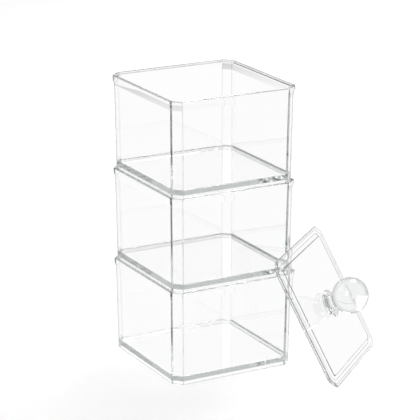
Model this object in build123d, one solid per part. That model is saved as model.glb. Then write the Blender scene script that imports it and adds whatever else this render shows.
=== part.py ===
from build123d import *
import os
from math import cos, radians, sin, sqrt

# Three clear open-topped boxes stacked foot in rim, and the knobbed lid taken off and leaned on them.
# Millimetres and degrees. Origin: centre of the bottom box's foot, on the floor. +Z up, front face -Y.

# ---- driving dimensions: box ----
RIM_W = 92.0          # rim band, across flats
RIM_H = 2.4           # height of the rim band
RIM_PROUD = 0.75      # how far the band stands out from the wall's own line
FLARE_H = 4.0         # height over which the wall flares out to the band
BOX_H = 64.4          # foot to rim of one box
CORNER = 5.8          # 45 degree cut on every upright corner, measured along a side
WALL = 2.0            # wall thickness
FOOT_INSET = 1.6      # the foot's outline inside the rim's outline, per side
FOOT_H = 2.4          # height of the foot ring below the floor
FLOOR_T = 2.9         # floor thickness
SEAT_D = 1.0          # depth of the rebate in the rim that takes the next foot
SEAT_GAP = 0.2        # clearance round a foot in that rebate
RIM_ROUND = 0.4       # edge radius on the top of rim and lid
FOOT_CHAMFER = 0.35   # chamfer under the foot and under the lid's edge
FLOOR_ROUND = 1.0     # inside radius between floor and walls
BOXES = 3             # boxes in the stack

# ---- driving dimensions: lid and knob ----
LID_T = 2.0           # lid plate
RING_W = 2.5          # width of the ring under the plate, which sits in a rim's seat as a foot does
PANEL_INSET = 6.7     # raised panel on the lid, inside the lid's outline, per side
PANEL_H = 0.4         # height of the raised panel
BALL_D = 24.4         # knob ball
BALL_UP = 18.5        # ball centre above the lid's top face
COLLAR_D = 18.6       # collar disc round the knob's neck
COLLAR_UP = 2.1       # underside of the collar above the lid's top face
COLLAR_T = 2.2
COLLAR_CHAMFER = 0.7
NECK_D = 10.4         # neck from the lid up into the ball
SPIGOT_D = 6.0        # knob spigot through the lid
SPIGOT_GAP = 0.1      # radial gap that the adhesive fills

# ---- driving dimensions: how the lid leans ----
LEAN_TILT = 28.1      # lid plate from vertical
LEAN_TURN = 40.6      # foot edge of the lid from the +X direction
LEAN_SHIFT = 13.6     # lid centre along its foot edge, from the point nearest the stack's axis
LEAN_GAP = 0.3        # clearance between lid and stack corner

# ---- derived ----
RIM_R = RIM_W / 2                              # half widths, across flats
WALL_TOP_R = RIM_R - RIM_PROUD
FOOT_R = RIM_R - FOOT_INSET
BAND_Z = BOX_H - RIM_H                         # lower edge of the rim band
FLARE_Z = BAND_Z - FLARE_H                     # where the wall starts to flare
FLOOR_Z = FOOT_H + FLOOR_T                     # inside floor
DRAFT = (WALL_TOP_R - FOOT_R) / BAND_Z         # outward lean of the walls, mm per mm
PITCH = BOX_H - SEAT_D                         # one box to the next
MITRE = 2 - sqrt(2)                            # growth of a 45 degree corner cut per mm of offset
INNER_TOP_R = FOOT_R + DRAFT * BOX_H - WALL    # half width between the walls at the rim
RING_IN_R = FOOT_R - RING_W                    # half width inside the lid's ring


def corners(half, cut):
    """The eight points of a square of the given half width with 45 degree corner cuts."""
    k = half - cut
    return [(-k, -half), (k, -half), (half, -k), (half, k), (k, half), (-k, half), (-half, k), (-half, -k)]


def inner_cut(offset):
    """The corner cut of an outline lying the given distance inside a wall's outline."""
    return CORNER - MITRE * offset


def prism(half, cut, z0, z1):
    outline = Polygon(*corners(half, cut), align=None)
    return extrude(Pos(0, 0, z0) * outline, z1 - z0)


def drafted(half0, half1, cut, z0, z1):
    """A prism whose flat sides lean evenly from one half width to another."""
    low = [(x, y, z0) for x, y in corners(half0, cut)]
    high = [(x, y, z1) for x, y in corners(half1, cut)]
    sides = [Face(Wire.make_polygon([low[i - 1], low[i], high[i], high[i - 1]])) for i in range(len(low))]
    return Solid(Shell([Face(Wire.make_polygon(low)), *sides, Face(Wire.make_polygon(high))]))


def outline_edges(part, half, cut, z):
    """The level edges of a part that lie on an outline at a height."""
    def on(e):
        c = e.center()
        reach = max(abs(c.X), abs(c.Y), (abs(c.X) + abs(c.Y) + cut) / 2)
        level = abs(e.bounding_box().min.Z - z) < 0.01 and abs(e.bounding_box().max.Z - z) < 0.01
        return level and abs(reach - half) < 0.02
    return part.edges().filter_by(on)


def wall_half(z):
    """Half width of a box's outer wall, without its flare, at a height above its foot."""
    return FOOT_R + DRAFT * z


def box():
    """One moulded box: drafted walls that flare out to a rim band with a seat inside, floor raised on a foot ring."""
    shell = drafted(FOOT_R, wall_half(FLARE_Z), CORNER, 0, FLARE_Z)
    shell += drafted(wall_half(FLARE_Z), RIM_R, CORNER, FLARE_Z, BAND_Z)
    shell += prism(RIM_R, CORNER, BAND_Z, BOX_H)
    shell = chamfer(outline_edges(shell, FOOT_R, CORNER, 0), FOOT_CHAMFER)
    shell = fillet(outline_edges(shell, RIM_R, CORNER, BOX_H), RIM_ROUND)
    cut = inner_cut(WALL)
    well = drafted(wall_half(FLOOR_Z) - WALL, INNER_TOP_R, cut, FLOOR_Z, BOX_H)
    well = fillet(outline_edges(well, wall_half(FLOOR_Z) - WALL, cut, FLOOR_Z), FLOOR_ROUND)
    seat = prism(wall_half(SEAT_D) + SEAT_GAP, inner_cut(-SEAT_GAP), BOX_H - SEAT_D, BOX_H)
    recess = prism(FOOT_R - WALL, cut, 0, FOOT_H)
    return shell - well - seat - recess


def lid_plate():
    """The lid, top face at z = 0 and local +Z out of it: raised panel above, seat ring below, hole for the knob."""
    plate = prism(RIM_R, CORNER, -LID_T, 0)
    plate = chamfer(outline_edges(plate, RIM_R, CORNER, -LID_T), FOOT_CHAMFER)
    plate = fillet(outline_edges(plate, RIM_R, CORNER, 0), RIM_ROUND)
    top = RIM_R - PANEL_INSET
    plate += drafted(top, top - PANEL_H, inner_cut(PANEL_INSET), 0, PANEL_H)
    ring = prism(FOOT_R, CORNER, -LID_T - SEAT_D, -LID_T)
    ring -= prism(RING_IN_R, inner_cut(RING_W), -LID_T - SEAT_D, -LID_T)
    hole = Pos(0, 0, (PANEL_H - LID_T) / 2) * Cylinder(SPIGOT_D / 2 + SPIGOT_GAP, LID_T + PANEL_H + 1)
    return plate + ring - hole


def lid_knob():
    """The ball knob standing on the lid's panel, its spigot ending flush with the lid's underside."""
    collar = Pos(0, 0, COLLAR_UP + COLLAR_T / 2) * Cylinder(COLLAR_D / 2, COLLAR_T)
    collar = chamfer(collar.edges().filter_by(GeomType.CIRCLE), COLLAR_CHAMFER)
    neck = Pos(0, 0, (PANEL_H + BALL_UP) / 2) * Cylinder(NECK_D / 2, BALL_UP - PANEL_H)
    ball = Pos(0, 0, BALL_UP) * Sphere(BALL_D / 2)
    spigot = Pos(0, 0, (PANEL_H - LID_T) / 2) * Cylinder(SPIGOT_D / 2, LID_T + PANEL_H)
    return collar + neck + ball + spigot


def stack_half(z):
    """Half width of the stack at a height above its foot."""
    z %= PITCH
    if z < SEAT_D or z > BAND_Z:
        return RIM_R
    flare = max(0, (z - FLARE_Z) / FLARE_H)
    return wall_half(z) * (1 - flare) + RIM_R * flare


def side_point(half, turn):
    """How far a stack outline of this half width reaches towards the lid."""
    nx, ny = sin(turn), -cos(turn)
    k = half - CORNER
    return max(nx * k - ny * half, nx * half - ny * k)


def lean_plane():
    """The lid's own frame: foot edge on the floor, upper edge just clear of the stack's front right corner."""
    turn, tilt = radians(LEAN_TURN), radians(LEAN_TILT)
    s, c = sin(tilt), cos(tilt)
    foot_z = LID_T * s - FOOT_CHAMFER * min(s, c)
    needs = []
    # the lid's upper corners against the wall beside them: distance up the plate, depth below its top face
    ring_deep = LID_T + SEAT_D
    for up, deep in ((RIM_W, LID_T), (RIM_R + FOOT_R, ring_deep), (RIM_R + RING_IN_R, ring_deep)):
        z = foot_z + up * c - deep * s
        needs.append(side_point(stack_half(z), turn) + up * s + deep * c)
    # rim bands against the lid's underside
    for k in range(BOXES):
        up = (k * PITCH + BOX_H - foot_z + LID_T * s) / c
        if up < RIM_W:
            needs.append(side_point(RIM_R, turn) + up * s + LID_T * c)
    away = max(needs) + LEAN_GAP
    x_dir = Vector(cos(turn), sin(turn), 0)
    out = Vector(sin(turn), -cos(turn), 0)
    normal = out * c + Vector(0, 0, s)
    up_dir = Vector(0, 0, c) - out * s
    foot = out * away + x_dir * LEAN_SHIFT + Vector(0, 0, foot_z)
    return Plane(origin=foot + up_dir * RIM_R, x_dir=x_dir, z_dir=normal)


def main():
    os.makedirs("parts", exist_ok=True)
    names = ["lower_box", "middle_box", "upper_box"]
    body = box()
    for i in range(BOXES):
        export_step(Pos(0, 0, i * PITCH) * body, f"parts/{names[i]}.step")
    lean = lean_plane().location
    export_step(lean * lid_plate(), "parts/lid_plate.step")
    export_step(lean * lid_knob(), "parts/lid_knob.step")


main()
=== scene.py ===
from math import cos, radians, sin

import bpy
from mathutils import Matrix, Vector

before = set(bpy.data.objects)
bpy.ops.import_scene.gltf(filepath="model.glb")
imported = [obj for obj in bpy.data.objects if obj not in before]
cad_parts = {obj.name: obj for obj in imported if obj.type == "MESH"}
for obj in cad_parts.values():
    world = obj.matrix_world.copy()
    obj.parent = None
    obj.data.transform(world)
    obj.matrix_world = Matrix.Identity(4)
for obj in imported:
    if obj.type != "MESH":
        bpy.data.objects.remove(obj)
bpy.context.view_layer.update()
scene = bpy.context.scene

# ---- the photograph's camera (metres, degrees) ----
CAM_AT = (-0.64693, -1.17834, 0.51548)
CAM_YAW = 28.968          # right of the +Y direction
CAM_PITCH = 17.087        # below the horizon
CAM_ROLL = 0.139
CAM_LENS = 181.18         # mm on a 36 mm sensor

# ---- floor and studio ----
FLOOR_Z = -0.00006        # a hair under the foot, so that the two faces never coincide
FLOOR_HALF = 4.0          # half the floor's width
FLOOR_WHITE = 0.82
FLOOR_LIFT = 0.16         # the floor's own white towards the camera
WHITE_REACH = (1.7, 3.0)  # floor in and through clear plastic: white to the first reach, dim from the second
DIM_FLOOR = 0.30          # its strength beyond that
DIM_ROOM = 0.04           # the studio's unlit walls, seen through clear plastic
PALE_ROOM = 1.0           # the same walls, mirrored in gloss
SWEEP_AHEAD = (0.25, 0.6) # the white sweep behind the object starts and is full, as the ahead part of a ray
SWEEP_UP = (0.25, 0.5)    # and it fades out towards the top, as the up part
SOFTBOX_WAY = (-0.80, -0.45, 0.40)      # right, ahead and up, seen from the camera
SOFTBOX_EDGE = (0.62, 0.72)             # along that way, where the soft box starts and where it is full
WORLD_FILL = 0.48         # world light on plain surfaces
LIGHT_BOUNCES = 40        # enough for light that runs along inside a floor or a wall

# ---- clear plastic ----
GLANCING_SHADE_ANGLE = (0.78, 0.96) # Layer Weight's Facing where the painted edge shade starts and where it is full
BALL_SHADE_ANGLE = (0.30, 0.85) # the same painted edge shade on the round knob
PAINTED_LINE_REACH = 0.0007        # how far the painted dark line reaches from a sharp moulded edge
LINE_TURN = (0.98, 0.80)  # bevelled against true normal: no painted line at the first, a full painted line at the second
# colour of the painted dark line: painted shade along sharp edges
PAINTED_LINE_SHADE = (0.06, 0.065, 0.065, 1)
SHADOW_PASS = 0.90        # light that one face lets into the object's shadow
SMOOTH = 0.002            # roughness of the untouched plastic
WORN_ROUGH = 0.006        # added by handling haze
HAIR_ROUGH = 0.012        # and by hairline scratches


def make_camera():
    cam = bpy.data.objects.new("camera", bpy.data.cameras.new("camera"))
    yaw, pitch, roll = radians(CAM_YAW), radians(CAM_PITCH), radians(CAM_ROLL)
    forward = Vector((sin(yaw) * cos(pitch), cos(yaw) * cos(pitch), -sin(pitch)))
    side = Vector((cos(yaw), -sin(yaw), 0))
    up = side.cross(forward)
    right = side * cos(roll) + up * sin(roll)
    top = up * cos(roll) - side * sin(roll)
    turn = Matrix((right, top, -forward)).transposed()
    cam.matrix_world = Matrix.Translation(CAM_AT) @ turn.to_4x4()
    cam.data.sensor_width = 36
    cam.data.lens = CAM_LENS
    cam.data.clip_start, cam.data.clip_end = 0.05, 20
    scene.collection.objects.link(cam)
    scene.camera = cam


class Nodes:
    """Short calls for building a node tree."""

    def __init__(self, tree):
        self.tree = tree
        tree.nodes.clear()

    def add(self, kind, **values):
        node = self.tree.nodes.new("ShaderNode" + kind)
        for key, value in values.items():
            if key in node.bl_rna.properties:
                setattr(node, key, value)
            else:
                node.inputs[key.replace("_", " ")].default_value = value
        return node

    def link(self, out, into):
        self.tree.links.new(out, into)

    def math(self, operation, a, b=0.0):
        node = self.add("Math", operation=operation)
        for slot, value in zip(node.inputs, (a, b)):
            if isinstance(value, (int, float)):
                slot.default_value = value
            else:
                self.link(value, slot)
        return node.outputs[0]

    def ranged(self, value, low, high, to_low, to_high):
        node = self.add("MapRange")
        self.link(value, node.inputs["Value"])
        for name, number in zip(("From Min", "From Max", "To Min", "To Max"), (low, high, to_low, to_high)):
            node.inputs[name].default_value = number
        return node.outputs["Result"]

    def blend(self, factor, first, second):
        node = self.add("MixShader")
        for slot, out in zip(node.inputs, (factor, first.outputs[0], second.outputs[0])):
            self.link(out, slot)
        return node


def clear_rays(n, path):
    """1 for the rays that reach a surface by way of gloss or clear plastic."""
    return n.math("MAXIMUM", path.outputs["Is Glossy Ray"], path.outputs["Is Transmission Ray"])


def seen_from_camera(n, vector):
    """The right, ahead and up parts of a world vector, for a studio that is laid out round the camera."""
    split = n.add("SeparateXYZ")
    n.link(vector, split.inputs[0])
    x, y, z = split.outputs
    c, s = cos(radians(CAM_YAW)), sin(radians(CAM_YAW))
    right = n.math("SUBTRACT", n.math("MULTIPLY", x, c), n.math("MULTIPLY", y, s))
    ahead = n.math("ADD", n.math("MULTIPLY", x, s), n.math("MULTIPLY", y, c))
    return right, ahead, z


def scratches(n, place, angle, scale, width):
    """Fine straight scratches that run one way: noise drawn out along an axis."""
    mapping = n.add("Mapping")
    mapping.inputs["Rotation"].default_value = angle
    mapping.inputs["Scale"].default_value = scale
    n.link(place, mapping.inputs["Vector"])
    noise = n.add("TexNoise", Scale=1.0, Detail=3.0, Roughness=0.6)
    n.link(mapping.outputs["Vector"], noise.inputs["Vector"])
    return n.ranged(noise.outputs["Fac"], 0.5 - width, 0.5 + width, 0.0, 1.0)


def worn_surface(n, shader, wave):
    """Roughness and normal of handled plastic: flow waves, hairline scratches and handling haze."""
    place = n.add("TexCoord").outputs["Object"]
    flow = n.add("TexNoise", Scale=26.0, Detail=2.0, Roughness=0.45, Distortion=0.6)
    n.link(place, flow.inputs["Vector"])
    haze = n.add("TexNoise", Scale=85.0, Detail=5.0, Roughness=0.62)
    n.link(place, haze.inputs["Vector"])
    hair = n.math("MULTIPLY",
                  scratches(n, place, (0.3, 0.5, 0.6), (900, 40, 60), 0.16),
                  scratches(n, place, (0.9, 0.1, 1.7), (50, 1100, 45), 0.16))
    worn = n.ranged(haze.outputs["Fac"], 0.42, 0.72, 0.0, 1.0)
    rough = n.math("ADD", n.math("MULTIPLY", worn, WORN_ROUGH), n.math("MULTIPLY", hair, HAIR_ROUGH))
    n.link(n.math("ADD", rough, SMOOTH), shader.inputs["Roughness"])

    flow_bump = n.add("Bump", Strength=wave, Distance=0.0004)
    n.link(flow.outputs["Fac"], flow_bump.inputs["Height"])
    hair_bump = n.add("Bump", Strength=0.05, Distance=0.00002)
    n.link(hair, hair_bump.inputs["Height"])
    n.link(flow_bump.outputs["Normal"], hair_bump.inputs["Normal"])
    n.link(hair_bump.outputs["Normal"], shader.inputs["Normal"])


def painted_edge_shade(n, shader, glancing_shade, shade_angle):
    """Clear, with painted shade where it is met at a glancing angle and a painted dark line along sharp
    moulded edges, both standing in for the dark edges that refraction gives.
    """
    # painted shade where the surface is met at a glancing angle
    glancing = n.ranged(n.add("LayerWeight", Blend=0.5).outputs["Facing"], *shade_angle, 0.0, 1.0)
    turned = n.add("VectorMath", operation="DOT_PRODUCT")
    # painted dark line along sharp moulded edges, where the bevelled normal turns away from the true normal
    n.link(n.add("Bevel", samples=4, Radius=PAINTED_LINE_REACH).outputs[0], turned.inputs[0])
    n.link(n.add("NewGeometry").outputs["True Normal"], turned.inputs[1])
    sharp = n.ranged(n.math("ABSOLUTE", turned.outputs["Value"]), *LINE_TURN, 0.0, 1.0)
    glancing_shaded = n.add("Mix", data_type="RGBA")
    glancing_shaded.inputs["A"].default_value = (1, 1, 1, 1)
    glancing_shaded.inputs["B"].default_value = (*glancing_shade, 1)
    n.link(glancing, glancing_shaded.inputs["Factor"])
    line_shaded = n.add("Mix", data_type="RGBA")
    n.link(glancing_shaded.outputs["Result"], line_shaded.inputs["A"])
    line_shaded.inputs["B"].default_value = PAINTED_LINE_SHADE
    n.link(sharp, line_shaded.inputs["Factor"])
    n.link(line_shaded.outputs["Result"], shader.inputs["Base Color"])


def clear_plastic(name, ior, glancing_shade, shade_angle, body_tint, density, wave):
    """Moulded clear plastic that greys light along its length and casts a pale shadow."""
    mat = bpy.data.materials.new(name)
    mat.use_nodes = True
    n = Nodes(mat.node_tree)
    shader = n.add("BsdfPrincipled")
    shader.inputs["Transmission Weight"].default_value = 1.0
    shader.inputs["IOR"].default_value = ior
    worn_surface(n, shader, wave)
    painted_edge_shade(n, shader, glancing_shade, shade_angle)
    let_through = n.add("BsdfTransparent", Color=(SHADOW_PASS, SHADOW_PASS, SHADOW_PASS, 1))
    surface = n.blend(n.add("LightPath").outputs["Is Shadow Ray"], shader, let_through)
    absorb = n.add("VolumeAbsorption", Color=(*body_tint, 1), Density=density)
    out = n.add("OutputMaterial")
    n.link(surface.outputs[0], out.inputs["Surface"])
    n.link(absorb.outputs[0], out.inputs["Volume"])
    return mat


def dress():
    # the first grey is painted shade at glancing angles; the second is the plastic's own absorption tint
    edge_shade_grey, body = (0.50, 0.51, 0.51), (0.40, 0.44, 0.44)
    box_plastic = clear_plastic("clear_box_plastic", 1.55, edge_shade_grey, GLANCING_SHADE_ANGLE, body, 11.0, 0.03)
    lid_plastic = clear_plastic("clear_lid_plastic", 1.55, edge_shade_grey, GLANCING_SHADE_ANGLE, body, 14.0, 0.03)
    # the knob's darker grey is painted shade on the ball's sides, standing in for the dark crescents that
    # refraction gives
    knob_plastic = clear_plastic("clear_knob_plastic", 1.49, (0.16, 0.17, 0.17), BALL_SHADE_ANGLE, body, 8.0, 0.02)
    for node, mat in (("lower_box", box_plastic), ("middle_box", box_plastic), ("upper_box", box_plastic),
                      ("lid_plate", lid_plastic), ("lid_knob", knob_plastic)):
        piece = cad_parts[node]
        piece.data.materials.clear()
        piece.data.materials.append(mat)


def make_floor():
    """Matt white with the object's shadow; in and through clear plastic, white near by and dim far off."""
    mesh = bpy.data.meshes.new("floor")
    r = FLOOR_HALF
    corners = [(-r, -r, FLOOR_Z), (r, -r, FLOOR_Z), (r, r, FLOOR_Z), (-r, r, FLOOR_Z)]
    mesh.from_pydata(corners, [], [(0, 1, 2, 3)])
    floor = bpy.data.objects.new("floor", mesh)
    scene.collection.objects.link(floor)
    mat = bpy.data.materials.new("floor_white")
    mat.use_nodes = True
    n = Nodes(mat.node_tree)
    matt = n.add("BsdfDiffuse", Color=(FLOOR_WHITE, FLOOR_WHITE, FLOOR_WHITE, 1))
    path = n.add("LightPath")
    lift = n.add("Emission", Color=(1, 1, 1, 1))
    n.link(n.math("MULTIPLY", path.outputs["Is Camera Ray"], FLOOR_LIFT), lift.inputs["Strength"])
    direct = n.add("AddShader")
    n.link(matt.outputs[0], direct.inputs[0])
    n.link(lift.outputs[0], direct.inputs[1])

    spot = n.add("SeparateXYZ")
    n.link(n.add("NewGeometry").outputs["Position"], spot.inputs[0])
    x, y, _ = spot.outputs
    reach = n.math("SQRT", n.math("ADD", n.math("MULTIPLY", x, x), n.math("MULTIPLY", y, y)))
    glow = n.add("Emission", Color=(1, 1, 1, 1))
    n.link(n.ranged(reach, *WHITE_REACH, 1.0, DIM_FLOOR), glow.inputs["Strength"])
    surface = n.blend(clear_rays(n, path), direct, glow)
    n.link(surface.outputs[0], n.add("OutputMaterial").inputs["Surface"])
    floor.data.materials.append(mat)


def make_world():
    """White to the camera and in gloss; through clear plastic a dim studio with a sweep and a soft box."""
    world = bpy.data.worlds.new("studio")
    scene.world = world
    world.use_nodes = True
    n = Nodes(world.node_tree)
    right, ahead, up = seen_from_camera(n, n.add("TexCoord").outputs["Generated"])
    sweep = n.math("MULTIPLY", n.ranged(ahead, *SWEEP_AHEAD, 0.0, 1.0), n.ranged(up, *SWEEP_UP, 1.0, 0.0))
    facing = n.math("ADD", n.math("MULTIPLY", up, SOFTBOX_WAY[2]),
                    n.math("ADD", n.math("MULTIPLY", right, SOFTBOX_WAY[0]),
                           n.math("MULTIPLY", ahead, SOFTBOX_WAY[1])))
    softbox = n.ranged(facing, *SOFTBOX_EDGE, 0.0, 1.0)
    path = n.add("LightPath")
    walls = n.ranged(path.outputs["Is Glossy Ray"], 0.0, 1.0, DIM_ROOM, PALE_ROOM)
    studio = n.math("MAXIMUM", n.math("MAXIMUM", sweep, softbox), walls)
    fill = n.add("Background", Color=(1, 1, 1, 1), Strength=WORLD_FILL)
    seen = n.add("Background", Color=(1, 1, 1, 1))
    n.link(studio, seen.inputs["Strength"])
    white = n.add("Background", Color=(1, 1, 1, 1), Strength=1.0)
    unseen = n.blend(clear_rays(n, path), fill, seen)
    last = n.blend(path.outputs["Is Camera Ray"], unseen, white)
    n.link(last.outputs[0], n.add("OutputWorld").inputs["Surface"])


def make_light(name, at, aim, size, power):
    data = bpy.data.lights.new(name, "AREA")
    data.shape = "RECTANGLE"
    data.size, data.size_y = size
    data.energy = power
    lamp = bpy.data.objects.new(name, data)
    lamp.location = at
    lamp.rotation_mode = "QUATERNION"
    lamp.rotation_quaternion = (Vector(aim) - Vector(at)).to_track_quat("-Z", "Y")
    scene.collection.objects.link(lamp)


make_camera()
dress()
make_floor()
make_world()
make_light("key", (0.95, 0.70, 1.60), (0.02, 0, 0.05), (0.7, 0.7), 21)
make_light("side", (-1.2, -0.9, 1.0), (0, 0, 0.05), (0.5, 0.9), 8)
scene.view_settings.view_transform = "Standard"
scene.cycles.max_bounces = scene.cycles.glossy_bounces = scene.cycles.transmission_bounces = LIGHT_BOUNCES
